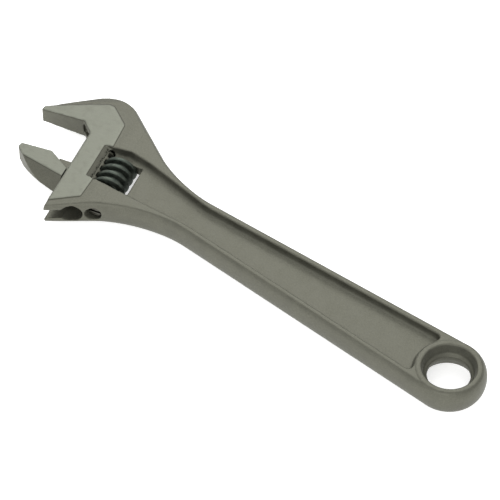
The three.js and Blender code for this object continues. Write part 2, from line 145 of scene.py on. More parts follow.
# %% Drawing an outline
def outline(name, corners, height=0.0):
    """A flat face through corners (x, y, radius) in millimetres, with its corners rounded."""
    bpy.ops.mesh.primitive_plane_add(size=MM)
    piece = bpy.context.object
    piece.name = name
    points = [Vector((x, y, height)) * MM for x, y, radius in corners]
    bpy.ops.object.mode_set(mode="EDIT")
    bpy.ops.mesh.merge(type="CENTER")
    bpy.ops.transform.translate(value=points[0])
    for start, end in zip(points, points[1:]):
        bpy.ops.mesh.extrude_region_move(TRANSFORM_OT_translate={"value": end - start})
    bpy.ops.mesh.select_all(action="SELECT")
    bpy.ops.mesh.edge_face_add()
    for i, (point, corner) in enumerate(zip(points, corners)):
        if corner[2] == 0:
            continue
        to_last = points[i - 1] - point
        to_next = points[(i + 1) % len(points)] - point
        reach = corner[2] * MM / math.tan(to_last.angle(to_next) / 2)
        bpy.ops.mesh.select_all(action="DESELECT")
        bpy.ops.object.mode_set(mode="OBJECT")
        for vertex in piece.data.vertices:
            vertex.select = (vertex.co - point).length < 1e-6
        bpy.ops.object.mode_set(mode="EDIT")
        bpy.ops.mesh.bevel(offset=reach, segments=12, affect="VERTICES", clamp_overlap=False)
    bpy.ops.mesh.select_all(action="SELECT")
    bpy.ops.mesh.remove_doubles(threshold=0.01 * MM)
    bpy.ops.object.mode_set(mode="OBJECT")
    return piece


def plate(name, corners, low, high, matrix):
    """A straight-sided solid of an outline between two heights, placed in a frame."""
    piece = outline(name, corners, low)
    bpy.ops.object.mode_set(mode="EDIT")
    bpy.ops.mesh.select_all(action="SELECT")
    bpy.ops.mesh.extrude_region_move(TRANSFORM_OT_translate={"value": (0, 0, (high - low) * MM)})
    bpy.ops.object.mode_set(mode="OBJECT")
    return place(face_outwards(piece), matrix)


# %% Boxes and bars along the head
def head_box(name, x0, x1, y0, y1, z0, z1):
    corners = [(x0, y0, 0), (x1, y0, 0), (x1, y1, 0), (x0, y1, 0)]
    return plate(name, corners, z0, z1, HEAD)


ACROSS = Matrix.Rotation(math.radians(90), 4, "X")


def head_bar(name, depth, radius, y0, y1, sides=96):
    """A round bar across the head, at a depth behind the neck face."""
    bpy.ops.mesh.primitive_cylinder_add(vertices=sides, radius=radius * MM, depth=(y1 - y0) * MM)
    bar = bpy.context.object
    bar.name = name
    centre = Vector((depth, (y0 + y1) / 2, 0)) * MM
    return place(bar, HEAD @ Matrix.Translation(centre) @ ACROSS)


# %% Joining and cutting
def combine(piece, other, operation):
    """Joins (UNION), cuts (DIFFERENCE) or trims (INTERSECT) one solid with another."""
    only(piece)
    bpy.ops.object.modifier_add(type="BOOLEAN")
    modifier = piece.modifiers[-1]
    modifier.operation = operation
    modifier.solver = "EXACT"
    modifier.object = other
    bpy.ops.object.modifier_apply(modifier=modifier.name)
    bpy.data.objects.remove(other)
    return piece


def both_sides(piece, merge=False):
    """Adds the same shape on the underside, mirrored in the wrench's middle plane."""
    only(piece)
    piece.data.transform(Matrix.Translation((0, 0, -middle_height)))
    bpy.ops.object.modifier_add(type="MIRROR")
    modifier = piece.modifiers[-1]
    modifier.use_axis = (False, False, True)
    modifier.use_mirror_merge = merge
    modifier.merge_threshold = 1e-6
    bpy.ops.object.modifier_apply(modifier=modifier.name)
    piece.data.transform(Matrix.Translation((0, 0, middle_height)))
    return piece


def underside(piece):
    """Moves a shape to the underside, mirrored in the wrench's middle plane."""
    to_middle = Matrix.Translation((0, 0, middle_height))
    piece.data.transform(to_middle @ Matrix.Scale(-1, 4, (0, 0, 1)) @ to_middle.inverted())
    return face_outwards(piece)


# %% [markdown]
# ## The forged blank
# A drop forging's sides aren't upright: they lean in from the parting line at mid height so that
# the dies let go, and they roll over into the top. The outline at the parting line is inset again
# and again, a little in and a little up each time, along a quarter of an ellipse. That gives even
# rows of faces round the whole wrench. A mirror makes the lower half. The die's head half is a
# hair deeper than its handle half, so the handle is trimmed by that much, which leaves a crease.

# %% Sizes of the handle and head
FAR = 80
TOP = 12
HANDLE_HALF = 5.1
HANDLE_TAPER = 0.0385
SIDE_BULGE = 2.3
JAW_DEPTH = 22.4


def handle_half_width(x):
    """The handle's straight edges run tangent to the round end."""
    return END_RADIUS * math.hypot(1, HANDLE_TAPER) + HANDLE_TAPER * x


def from_head(x, y, radius=0.0):
    """A corner given in the head's frame, as one in the handle's."""
    point = HEAD_FROM_HANDLE @ (Vector((x, y, 0)) * MM) / MM
    return (point.x, point.y, radius)


def on_edge(run, side, radius=0.0, inside=0.0):
    """A corner on the handle's edge, run millimetres from the head's root towards the hole."""
    x = head_x + run
    return (x, side * (handle_half_width(x) - inside), radius)


END_CORNER = handle_half_width(END_RADIUS)
FORGING_OUTLINE = [
    (END_RADIUS, END_CORNER, END_RADIUS),
    on_edge(44, 1, 55),
    from_head(4.1, 20.2, 14),
    from_head(-JAW_DEPTH, 2.3, 2.5),
    from_head(-JAW_DEPTH, -30),
    from_head(-8, -49),
    on_edge(40.6, -1, 50),
    (END_RADIUS, -END_CORNER, END_RADIUS),
]
print("handle half width at the head", round(on_edge(44, 1)[1], 2), "mm")


# %% The blank, inset upwards from the parting line
def rolled_steps(run, rise, count):
    """Insets and rises that follow a quarter of an ellipse, upright first and flat last."""
    angles = [math.pi / 2 * step / count for step in range(count + 1)]
    for last, angle in zip(angles, angles[1:]):
        inwards = run * (math.cos(last) - math.cos(angle))
        upwards = rise * (math.sin(angle) - math.sin(last))
        yield inwards * MM, upwards * MM


def inset_face(piece, steps, direction):
    """Insets the face that is highest (1) or lowest (-1), moving it that way at each step."""
    only(piece)
    end_face = max(piece.data.polygons, key=lambda face: direction * face.center.z)
    facing = 1 if end_face.normal.z > 0 else -1
    for face in piece.data.polygons:
        face.select = face.index == end_face.index
    for edge in piece.data.edges:
        edge.select = False
    for vertex in piece.data.vertices:
        vertex.select = vertex.index in end_face.vertices
    bpy.ops.object.mode_set(mode="EDIT")
    for inwards, onwards in steps:
        depth = onwards * direction * facing
        bpy.ops.mesh.inset(thickness=inwards, depth=depth, use_even_offset=True)
    bpy.ops.object.mode_set(mode="OBJECT")
    return piece


HEAD_SKIN = 0.15
HEAD_SKIN_END = 19

body = outline("wrench_body", FORGING_OUTLINE)
inset_face(body, rolled_steps(SIDE_BULGE, HANDLE_HALF + HEAD_SKIN, 10), 1)
place(body, HANDLE)
both_sides(body, merge=True)
face_outwards(body)
handle_skin = head_box("handle_skin", HEAD_SKIN_END, 3 * FAR, -FAR, FAR, HANDLE_HALF, TOP)
combine(body, both_sides(handle_skin), "DIFFERENCE")
print("blank:", len(body.data.polygons), "faces")

# %% [markdown]
# ## Ground faces on the head
# After forging, the jaw, the neck and the strip down to the end face are ground flat on each
# side. The grinding leaves a pad that stands about a third of a millimetre above the forged skin
# and thins a little towards the jaw tips. So the skin of the head is first cut down to a sloping
# plane, and a pad with the ground outline is set on it and trimmed to a plane just above.

# %% Sloping planes of the head
JAW_TIP_HALF = 3.25
NECK_HALF = 4.7
GROUND_STEP = 0.35
GROUND_END = 11.2
FACE_SLOPE = (NECK_HALF - JAW_TIP_HALF) / JAW_DEPTH


def ground_half(x):
    """Half the thickness between the ground faces at a depth behind the neck face."""
    return NECK_HALF + FACE_SLOPE * x


def above_ground(drop, x0, x1):
    """Everything above the ground faces' plane, lowered by drop, between two depths."""
    section = [
        (x0, ground_half(x0) - drop, 0),
        (x1, ground_half(x1) - drop, 0),
        (x1, TOP, 0),
        (x0, TOP, 0),
    ]
    return plate("above_ground", section, -FAR, FAR, HEAD @ ACROSS)


def beyond_line(start, end, slope):
    """Everything above a plane that holds the ground line from start to end and falls away."""
    start = Vector((start[0], start[1], ground_half(start[0])))
    end = Vector((end[0], end[1], ground_half(end[0])))
    ahead = (end - start).normalized()
    out = Vector((-ahead.y, ahead.x, 0)).normalized()
    up = ahead.cross(out)
    reach = 40
    section = [(0, 0, 0), (reach, -reach * slope, 0), (reach, 2 * TOP, 0), (0, 2 * TOP, 0)]
    basis = Matrix((out, up, ahead)).transposed().to_4x4()
    basis.translation = start * MM
    return plate("beyond_line", section, 0, (end - start).length, HEAD @ basis)


# %% Skin, pads and the jaw's sloping back
SKIN_END = (HANDLE_HALF + HEAD_SKIN + GROUND_STEP - NECK_HALF) / FACE_SLOPE
combine(body, both_sides(above_ground(GROUND_STEP, -FAR, SKIN_END)), "DIFFERENCE")

PAD_OUTLINE = [
    (-JAW_DEPTH - 2, 1.5, 0),
    (-21.2, 2.5, 1),
    (-18, 3.7, 0),
    (-5.7, 8.8, 4),
    (0.8, 11, 1.5),
    (3, 10.6, 1.5),
    (GROUND_END - 0.6, 3.2, 1),
    (GROUND_END, -8, 0),
    (GROUND_END, -25, 0),
    (GROUND_END - 0.6, -35.4, 0.6),
    (5.1, -38.4, 4),
    (-3, -43, 0),
    (-JAW_DEPTH - 2, -43, 0),
]
pad = plate("pad", PAD_OUTLINE, 0.5, TOP / 2, HEAD)
combine(pad, above_ground(0, -FAR, 2 * GROUND_END), "DIFFERENCE")
combine(pad, plate("upright_blank", FORGING_OUTLINE, 0, TOP, HANDLE), "INTERSECT")
combine(body, both_sides(pad), "UNION")

BACK_START = (-JAW_DEPTH - 4, 1.35)
BACK_END = (30, 22.2)
BACK_SLOPE = 0.287
combine(body, both_sides(beyond_line(BACK_START, BACK_END, BACK_SLOPE)), "DIFFERENCE")
print("with ground pads:", len(body.data.polygons), "faces")

# %% [markdown]
# ## The mouth and the end face
# The mouth is milled square, with a small notch at the foot of the fixed jaw so that a nut's
# corner clears it. Below the neck the forging ends in a flat face that rises towards the handle.

# %% Cut the mouth and the end face
MOUTH = [(-FAR, 0, 0), (-FAR, -FAR, 0), (0, -FAR, 0), (0, -4.8, 2), (-4.6, 0, 1)]
combine(body, plate("mouth", MOUTH, -TOP, TOP, HEAD), "DIFFERENCE")

END_FACE_DROP = 45
END_FACE_SLOPE = 0.44


def end_face_below(depth):
    return END_FACE_DROP - END_FACE_SLOPE * depth


CREST = 17.6
BELOW_END_FACE = [
    (-8, -end_face_below(-8), 0),
    (CREST, -end_face_below(CREST), 3),
    (CREST + 10.2, 1.3 - end_face_below(CREST), 0),
    (CREST + 10.2, -FAR, 0),
    (-8, -FAR, 0),
]
combine(body, plate("below_end_face", BELOW_END_FACE, -TOP, TOP, HEAD), "DIFFERENCE")

# %% [markdown]
# ## The recess in the handle
# A handle that is thin in the middle and thick at the rims is light and stiff. The recess is drawn
# as an outline too. Its walls are pressed by the die, so they drop steeply at the rim and run out
# in a round fillet at the panel: the same quarter ellipse as the sides, the other way round. On
# the jaw side the pocket round the worm slopes down over the rack's bore to the worm's window.

# %% The recess on both sides
RIM_WIDTH = 3.5
PANEL_HALF = 2.0
PANEL_FILLET = 1.3
HOLE_RIM_RADIUS = 9.85
BOSS_RING = 3.2
RACK_AXIS = 9.1
WORM_AXIS = 16.6
WORM_RADIUS = 6.4
WINDOW_NEAR = RACK_AXIS + 1.1
POCKET_TOP = 8.7
POCKET_BOTTOM = 25.2

corner_radius = PANEL_FILLET + 0.5
ring_radius = HOLE_RIM_RADIUS + BOSS_RING
near_hole = END_RADIUS - ring_radius - 10
hole_end_y = handle_half_width(near_hole) - RIM_WIDTH
RECESS_OUTLINE = [
    (near_hole, hole_end_y, corner_radius),
    on_edge(58.6, 1, 40, RIM_WIDTH),
    from_head(27.6, -10.6, 8),
    from_head(18.9, -8, 3),
    from_head(WINDOW_NEAR, -POCKET_TOP, corner_radius),
    from_head(WINDOW_NEAR, -POCKET_BOTTOM, corner_radius),
    on_edge(58.6, -1, 60, RIM_WIDTH),
    (near_hole, -hole_end_y, corner_radius),
    (-ring_radius, 0, 10),
]
recess = plate("recess", RECESS_OUTLINE, HANDLE_HALF, TOP, Matrix())
inset_face(recess, rolled_steps(PANEL_FILLET, HANDLE_HALF - PANEL_HALF, 8), -1)
place(recess, HANDLE)

LIP_CREST = RACK_AXIS - 2
LIP_FOOT_HEIGHT = 3.9
LIP_SECTION = [
    (LIP_CREST, HANDLE_HALF + 0.5, 0),
    (WINDOW_NEAR, LIP_FOOT_HEIGHT, 0),
    (WINDOW_NEAR + 1, LIP_FOOT_HEIGHT, 0),
    (WINDOW_NEAR + 1, TOP, 0),
    (LIP_CREST, TOP, 0),
]
lip = plate("pocket_lip", LIP_SECTION, POCKET_TOP, POCKET_BOTTOM, HEAD @ ACROSS)
combine(recess, lip, "UNION")
combine(body, both_sides(recess), "DIFFERENCE")
print("with the recess:", len(body.data.polygons), "faces")

# %% [markdown]
# ## The ring round the hang hole
# The handle ends in a ring that stands a little proud of the rims. It is a turned shape, so its
# half section is drawn once and spun. The hole is punched from both sides: it narrows from each
# rim to a ledge, and inside the ledge is a short waist. That too is spun, then cut out.

# %% Spin a section round the hang hole
BOSS_HALF = 5.35
HOLE_WAIST_RADIUS = 7.7
HOLE_WAIST_HALF = 1.0
LEDGE_RADIUS = 8.9
LEDGE_HALF = 1.7


def turned(name, section, matrix, steps=128):
    """A solid of revolution about Z from corners (radius, z, rounding) of half its section."""
    piece = outline(name, section)
    piece.data.transform(ACROSS)
    only(piece)
    bpy.ops.object.mode_set(mode="EDIT")
    bpy.ops.mesh.select_all(action="SELECT")
    bpy.ops.mesh.delete(type="ONLY_FACE")
    bpy.ops.object.mode_set(mode="OBJECT")
    on_axis = [vertex.co.x < 0.001 * MM for vertex in piece.data.vertices]
    for edge in piece.data.edges:
        edge.select = all(on_axis[index] for index in edge.vertices)
    bpy.ops.object.mode_set(mode="EDIT")
    bpy.ops.mesh.select_mode(type="EDGE")
    bpy.ops.mesh.delete(type="EDGE")
    bpy.ops.mesh.select_mode(type="VERT")
    bpy.ops.mesh.select_all(action="SELECT")
    bpy.ops.mesh.spin(steps=steps, angle=2 * math.pi, center=(0, 0, 0), axis=(0, 0, 1))
    bpy.ops.mesh.select_all(action="SELECT")
    bpy.ops.mesh.remove_doubles(threshold=0.001 * MM)
    bpy.ops.object.mode_set(mode="OBJECT")
    return place(face_outwards(piece), matrix)


crest_radius = HOLE_RIM_RADIUS + BOSS_RING - 1.4
BOSS_SECTION = [
    (0, -BOSS_HALF, 0),
    (crest_radius, -BOSS_HALF, 0),
    (crest_radius + 0.8, 0.7 - BOSS_HALF, 0.6),
    (END_RADIUS - 0.1, 0, 3),
    (crest_radius + 0.8, BOSS_HALF - 0.7, 0.6),
    (crest_radius, BOSS_HALF, 0),
    (0, BOSS_HALF, 0),
]
combine(body, turned("boss", BOSS_SECTION, HANDLE), "UNION")

over = 1
widening = (HOLE_RIM_RADIUS - LEDGE_RADIUS) / (BOSS_HALF - LEDGE_HALF)
mouth_radius = HOLE_RIM_RADIUS + widening * over
HOLE_SECTION = [
    (0, -BOSS_HALF - over, 0),
    (mouth_radius, -BOSS_HALF - over, 0),
    (LEDGE_RADIUS, -LEDGE_HALF, 0.6),
    (HOLE_WAIST_RADIUS, -HOLE_WAIST_HALF, 0.3),
    (HOLE_WAIST_RADIUS, HOLE_WAIST_HALF, 0.3),
    (LEDGE_RADIUS, LEDGE_HALF, 0.6),
    (mouth_radius, BOSS_HALF + over, 0),
    (0, BOSS_HALF + over, 0),
]
combine(body, turned("hang_hole", HOLE_SECTION, HANDLE), "DIFFERENCE")
print("with the ring:", len(body.data.polygons), "faces")

# %% [markdown]
# ## The machined holes in the head
# The rack's bore runs across the head just behind the neck, and a slot opens it to the neck face
# so that the jaw's web can slide. The worm sits in a window that goes right through, and its pin
# comes in from the end face through a wider hole for the pin's head.

# %% Bore, slot, window and pin holes
CLEARANCE = 0.3
RACK_RADIUS = 3.6
RACK_LEAD = 9.0
WEB_HALF = 1.9
WORM_TOP = 12.1
WORM_LENGTH = 13.2
PIN_RADIUS = 1.5
PIN_REACH = 4
PIN_HEAD_RADIUS = 2.7
PIN_HEAD_LENGTH = 7
PIN_HEAD_SETBACK = 1.6
window_top = WORM_TOP - CLEARANCE
window_bottom = WORM_TOP + WORM_LENGTH + CLEARANCE
window_far = WORM_AXIS + WORM_RADIUS + 1.9
pin_head_top = end_face_below(WORM_AXIS) - PIN_HEAD_SETBACK - PIN_HEAD_LENGTH

bore_radius = RACK_RADIUS + CLEARANCE
slot_half = WEB_HALF + CLEARANCE
window = (WINDOW_NEAR, window_far, -window_bottom, -window_top, -TOP, TOP)
cutters = [
    head_bar("rack_bore", RACK_AXIS, bore_radius, -FAR, RACK_LEAD + 1),
    head_box("web_slot", -5, RACK_AXIS, -FAR, 1, -slot_half, slot_half),
    head_box("worm_window", *window),
    head_bar("pin_hole", WORM_AXIS, PIN_RADIUS + CLEARANCE, -pin_head_top, PIN_REACH - window_top),
    head_bar("pin_head_hole", WORM_AXIS, PIN_HEAD_RADIUS + CLEARANCE, -FAR, CLEARANCE - pin_head_top),
]
for cutter in cutters:
    combine(body, cutter, "DIFFERENCE")
print("with its holes:", len(body.data.polygons), "faces")

# %% [markdown]
# ## Soften the forging
# A real forging has no sharp edge and no perfectly straight one. A voxel remesh turns the joined
# solids into one even skin, a few passes of smoothing round its edges by a fraction of a
# millimetre, and a decimate takes back the faces that flat stretches don't need.

# %% Remesh, smooth and thin
def soften(piece, voxel, passes, most_triangles):
    """One even skin with edges rounded by about a voxel's size, in millimetres."""
    only(piece)
    bpy.ops.object.modifier_add(type="REMESH")
    remesh = piece.modifiers[-1]
    remesh.mode = "VOXEL"
    remesh.voxel_size = voxel * MM
    bpy.ops.object.modifier_apply(modifier=remesh.name)
    bpy.ops.object.modifier_add(type="SMOOTH")
    smooth = piece.modifiers[-1]
    smooth.iterations = passes
    bpy.ops.object.modifier_apply(modifier=smooth.name)
    triangles = sum(len(face.vertices) - 2 for face in piece.data.polygons)
    if triangles > most_triangles:
        bpy.ops.object.modifier_add(type="DECIMATE")
        decimate = piece.modifiers[-1]
        decimate.ratio = most_triangles / triangles
        bpy.ops.object.modifier_apply(modifier=decimate.name)
    bpy.ops.object.shade_smooth()
    print(piece.name, "softened:", triangles, "->", len(piece.data.polygons), "faces")
    return piece


soften(body, 0.32, 3, 180000)

# %% [markdown]
# ## A screw thread
# The worm's thread is one section, a low trapezoid with rounded crests, that climbs one lead for
# each turn. Blender's Screw modifier sweeps such a section round an axis while it climbs. The
# same thread is needed twice: once as the worm itself, and once a running gap larger, as the
# cutter that gives the rack its teeth, so that the two are in mesh by construction.

# %% Thread and core
WORM_ROOT_RADIUS = 4.3
THREAD_LEAD = 3.5
THREAD_CREST = 1.3
THREAD_BASE = 2.0
FIRST_CREST = 3.4

# The worm's own frame: Z down the pin from the jaw's side, X up through the wrench's thickness.
WORM_TURN = Matrix(((0, -1, 0), (0, 0, -1), (1, 0, 0))).to_4x4()
WORM = HEAD @ Matrix.Translation((WORM_AXIS * MM, 0, 0)) @ WORM_TURN


def swept_thread(name, section, lead, turns, steps):
    """A closed section (radius, z, rounding) swept up a helix about Z, with both ends filled."""
    piece = outline(name, section)
    piece.data.transform(ACROSS)
    only(piece)
    bpy.ops.object.mode_set(mode="EDIT")
    bpy.ops.mesh.select_all(action="SELECT")
    bpy.ops.mesh.delete(type="ONLY_FACE")
    bpy.ops.object.mode_set(mode="OBJECT")
    bpy.ops.object.modifier_add(type="SCREW")
    screw = piece.modifiers[-1]
    screw.screw_offset = lead * MM
    screw.iterations = turns
    screw.steps = steps
    screw.render_steps = steps
    bpy.ops.object.modifier_apply(modifier=screw.name)
    bpy.ops.object.mode_set(mode="EDIT")
    bpy.ops.mesh.select_all(action="SELECT")
    bpy.ops.mesh.fill_holes(sides=0)
    bpy.ops.object.mode_set(mode="OBJECT")
    return face_outwards(piece)


def worm_thread(name, grow, turns):
    """The worm's thread, made larger all over by grow. Its foot is sunk in the core."""
    crest = THREAD_CREST / 2 + grow
    base = THREAD_BASE / 2 + grow
    inner = WORM_ROOT_RADIUS - 0.6
    section = [
        (inner, FIRST_CREST - base, 0),
        (WORM_ROOT_RADIUS + grow, FIRST_CREST - base, 0),
        (WORM_RADIUS + grow, FIRST_CREST - crest, 0.35),
        (WORM_RADIUS + grow, FIRST_CREST + crest, 0.35),
        (WORM_ROOT_RADIUS + grow, FIRST_CREST + base, 0),
        (inner, FIRST_CREST + base, 0),
    ]
    return swept_thread(name, section, THREAD_LEAD, turns, 72)


# %% [markdown]
# ## The worm
# The worm is turned from bar, threaded, and blackened in a hot oxide bath. Its core is drilled for
# the pin, and its lower end is bored for the spring, so the core is spun as a section of a tube.
# The thread is swept longer than needed and its ends are sliced off level with the core. The two
# overlap, and the remesh that softens the worm also makes them one.

# %% Spin the core and slice the thread
SPRING_POCKET_DEPTH = 4.2
SPRING_WIRE = 0.35
spring_radius = PIN_RADIUS + CLEARANCE + SPRING_WIRE
pocket_radius = spring_radius + SPRING_WIRE + CLEARANCE
worm_bottom = WORM_TOP + WORM_LENGTH
pocket_top = worm_bottom - SPRING_POCKET_DEPTH
worm_bore = PIN_RADIUS + CLEARANCE

WORM_CORE = [
    (worm_bore, WORM_TOP, 0),
    (WORM_ROOT_RADIUS, WORM_TOP, 0),
    (WORM_ROOT_RADIUS, worm_bottom, 0),
    (pocket_radius, worm_bottom, 0),
    (pocket_radius, pocket_top, 0),
    (worm_bore, pocket_top, 0),
]
worm = turned("worm_knurl", WORM_CORE, WORM)
thread = worm_thread("thread", 0, 8)
only(thread)
bpy.ops.object.mode_set(mode="EDIT")
for height, outwards in ((WORM_TOP, -1), (worm_bottom, 1)):
    bpy.ops.mesh.select_all(action="SELECT")
    bpy.ops.mesh.bisect(
        plane_co=(0, 0, height * MM), plane_no=(0, 0, outwards), use_fill=True, clear_outer=True
    )
bpy.ops.object.mode_set(mode="OBJECT")
place(thread, WORM)
only(worm)
thread.select_set(True)
bpy.ops.object.join()
soften(worm, 0.13, 2, 90000)

# %% [markdown]
# ## The sliding jaw
# The blade is forged with a thin web that passes through the body's slot to a round bar. The worm
# side of the bar carries the rack. The blade's faces are ground like the body's, and its belly
# falls away steeply from the ground face, so the tip stays slim.

# %% Blade, web and rack
JAW_OPENING = 18.3
RACK_LENGTH = 24.2
SHOULDER_DEPTH = 9.2
SHOULDER_DROP = 6.1
BLADE_WIDTH = 16.2
BELLY_SLOPE = 0.9

face = -JAW_OPENING
BLADE_OUTLINE = [
    (0.6 - JAW_DEPTH, face, 0),
    (-SHOULDER_DEPTH, face, 0.5),
    (-CLEARANCE, face - SHOULDER_DROP, 0),
    (-CLEARANCE, face - BLADE_WIDTH, 0),
    (-3.6, face - BLADE_WIDTH + 1, 3),
    (-13.2, face - BLADE_WIDTH + 5.6, 40),
    (-JAW_DEPTH, face - 2.1, 1.5),
]
jaw = plate("jaw_blade", BLADE_OUTLINE, -TOP / 2, TOP / 2, HEAD)
combine(jaw, both_sides(above_ground(0, -FAR, FAR)), "DIFFERENCE")
BELLY_START = (14, face - 14.1)
BELLY_END = (-JAW_DEPTH - 4, face - 3.1)
combine(jaw, beyond_line(BELLY_START, BELLY_END, BELLY_SLOPE), "DIFFERENCE")
combine(jaw, underside(beyond_line(BELLY_START, BELLY_END, BELLY_SLOPE)), "DIFFERENCE")

rack_top = RACK_LEAD - JAW_OPENING
rack_bottom = rack_top - RACK_LENGTH
WEB_OUTLINE = [
    (3.2 - SHOULDER_DEPTH, face - 0.6, 0),
    (-CLEARANCE - 1.2, face - 9, 0),
    (-CLEARANCE, rack_bottom, 0),
    (RACK_AXIS, rack_bottom, 0),
    (RACK_AXIS, face - 0.6, 0),
]
web = plate("jaw_web", WEB_OUTLINE, -WEB_HALF, WEB_HALF, HEAD)
bar = combine(web, head_bar("rack_bar", RACK_AXIS, RACK_RADIUS, rack_bottom, rack_top), "UNION")
flat_depth = WORM_AXIS - WORM_ROOT_RADIUS - CLEARANCE
combine(bar, head_box("rack_flat", flat_depth, FAR, -FAR, FAR, -TOP, TOP), "DIFFERENCE")
cutter = place(worm_thread("rack_cutter", CLEARANCE, 11), WORM)
combine(bar, cutter, "DIFFERENCE")
combine(jaw, bar, "UNION")
soften(jaw, 0.2, 2, 120000)

# %% [markdown]
# ## The pin and the spring
# The pin is a screw with a plain shank: a turned shape with a slot for a driver. The spring is
# wire wound round it, a small circle swept up a helix.

# %% Turn the pin and wind the spring
PIN_SECTION = [
    (0, window_top - PIN_REACH + CLEARANCE, 0),
    (PIN_RADIUS, window_top - PIN_REACH + CLEARANCE, 0.4),
    (PIN_RADIUS, pin_head_top, 0),
    (PIN_HEAD_RADIUS, pin_head_top, 0.4),
    (PIN_HEAD_RADIUS, pin_head_top + PIN_HEAD_LENGTH, 0.5),
    (0, pin_head_top + PIN_HEAD_LENGTH, 0),
]
pin = turned("worm_pin_screw", PIN_SECTION, WORM)
SLOT_DEPTH = 1.4
SLOT_HALF_WIDTH = 0.5
slot_floor = -pin_head_top - PIN_HEAD_LENGTH + SLOT_DEPTH
slot_sides = (-SLOT_HALF_WIDTH, SLOT_HALF_WIDTH)
combine(pin, head_box("driver_slot", 0, FAR, -FAR, slot_floor, *slot_sides), "DIFFERENCE")
soften(pin, 0.12, 1, 40000)

spring_top = worm_bottom - SPRING_POCKET_DEPTH + CLEARANCE + SPRING_WIRE
spring_bottom = window_bottom - CLEARANCE - SPRING_WIRE
SPRING_TURNS = 4
WIRE_SIDES = 12
wire = []
for step in range(WIRE_SIDES):
    angle = 2 * math.pi * step / WIRE_SIDES
    across = spring_radius + SPRING_WIRE * math.cos(angle)
    wire.append((across, spring_top + SPRING_WIRE * math.sin(angle), 0))
spring_lead = (spring_bottom - spring_top) / SPRING_TURNS
spring = place(swept_thread("worm_coil", wire, spring_lead, SPRING_TURNS, 32), WORM)
only(spring)
bpy.ops.object.shade_smooth_by_angle(angle=math.radians(40))
print("spring:", len(spring.data.polygons), "faces")

# %% [markdown]
# ## Finishes
# Four finishes are seen. The forging is phosphated: a fine grey-brown crystal coat on blasted
# steel, matt and slightly grainy. On the real one it wears lighter on edges, which is not drawn
# here. The ground faces are the same steel with the coat thinned over grinding lines, so they
# look paler. The worm is black oxide on machined steel, darker, smoother and a little green with
# oil. The pin and the spring are bare turned and drawn steel. All are metals, so colour sits in
# the reflection, and a coat mostly raises the roughness.

# %% Tools for finishes
def srgb(code):
    """A #rrggbb colour as linear values."""
    channels = [int(code[i:i + 2], 16) / 255 for i in (1, 3, 5)]
    linear = [c / 12.92 if c <= 0.04045 else ((c + 0.055) / 1.055) ** 2.4 for c in channels]
    return (*linear, 1.0)


def add(tree, kind, settings, inputs):
    """A node with its settings, and its inputs set to values or linked to other nodes."""
    node = tree.nodes.new(kind)
    for key, value in settings.items():
        setattr(node, key, value)
    for key, value in inputs.items():
        if isinstance(value, bpy.types.Node):
            value = next(socket for socket in value.outputs if socket.enabled)
        if isinstance(value, bpy.types.NodeSocket):
            tree.links.new(value, node.inputs[key])
        else:
            node.inputs[key].default_value = value
    return node


def finish(name, *pieces):
    """A new material on some pieces: its empty node tree, and the pieces' own coordinates."""
    material = bpy.data.materials.new(name)
    material.use_nodes = True
    tree = material.node_tree
    tree.nodes.clear()
    where = add(tree, "ShaderNodeTexCoord", {}, {}).outputs["Object"]
    for piece in pieces:
        piece.data.materials.clear()
        piece.data.materials.append(material)
    return tree, where


# %% [markdown]
# ## Where the ground faces are
# The body and the sliding jaw are each one piece of steel with both finishes, so they share one
# material that knows where the ground faces are: they are exactly the surface that lies on the
# two sloping planes of the head. The shader turns its position into the head's frame, works out
# how far it is below the plane at that depth, and changes finish within a tenth of a millimetre.

# %% Depth below the ground plane
tree, where = finish("phosphated_drop_forged_steel", body, jaw)
to_head = HEAD.inverted()
turned_to_head = {
    "Vector": where,
    "Location": to_head.translation,
    "Rotation": to_head.to_euler(),
}
in_head = add(tree, "ShaderNodeMapping", {}, turned_to_head)
split = add(tree, "ShaderNodeSeparateXYZ", {}, {0: in_head})
plane_heights = (ground_half(-100) * MM, ground_half(300) * MM)
plane_range = {0: split.outputs[0], 1: -0.1, 2: 0.3, 3: plane_heights[0], 4: plane_heights[1]}
plane_height = add(tree, "ShaderNodeMapRange", {}, plane_range)
height = add(tree, "ShaderNodeMath", {"operation": "ABSOLUTE"}, {0: split.outputs[2]})
below_plane = add(tree, "ShaderNodeMath", {"operation": "SUBTRACT"}, {0: plane_height, 1: height})
ground_range = {0: below_plane, 1: 0.10 * MM, 2: 0.20 * MM, 3: 1.0, 4: 0.0}
ground = add(tree, "ShaderNodeMapRange", {}, ground_range)
# The side of the step beside the ground faces, where shade is painted.
step_painted_shade_range = {0: below_plane, 1: 0.24 * MM, 2: 0.32 * MM, 3: 1.0, 4: 0.0}
step_painted_shade = add(tree, "ShaderNodeMapRange", {}, step_painted_shade_range)

# %% [markdown]
# ## The phosphate coat
# The coat's crystals gather in clouds some 5 mm wide, over a grain of about half a millimetre.
# The real grain is ten times finer, but would not show at this size. The side of the step
# beside the ground faces is drawn darker as painted shade.

# %% Coat
cloud_noise = add(tree, "ShaderNodeTexNoise", {}, {"Vector": where, "Scale": 1 / (5 * MM), "Detail": 4})
clouds = add(tree, "ShaderNodeMapRange", {}, {0: cloud_noise, 1: 0.35, 2: 0.65})
coat = add(tree, "ShaderNodeMix", {"data_type": "RGBA"}, {
    0: clouds, 6: srgb("#5f5f55"), 7: srgb("#68685d"),
})
grain = add(tree, "ShaderNodeTexNoise", {}, {"Vector": where, "Scale": 1 / (0.5 * MM), "Detail": 3})
speck_amount = add(tree, "ShaderNodeMapRange", {}, {0: grain, 1: 0.3, 2: 0.7, 3: 0.0, 4: 0.5})
coat = add(tree, "ShaderNodeMix", {"data_type": "RGBA"}, {
    0: speck_amount, 6: coat, 7: srgb("#515148"),
})
# Painted shade: the step's side is drawn darker, as if it lay in shadow.
coat = add(tree, "ShaderNodeMix", {"data_type": "RGBA"}, {0: step_painted_shade, 6: coat, 7: srgb("#45443c")})
coat_roughness = add(tree, "ShaderNodeMapRange", {}, {0: clouds, 3: 0.46, 4: 0.54})

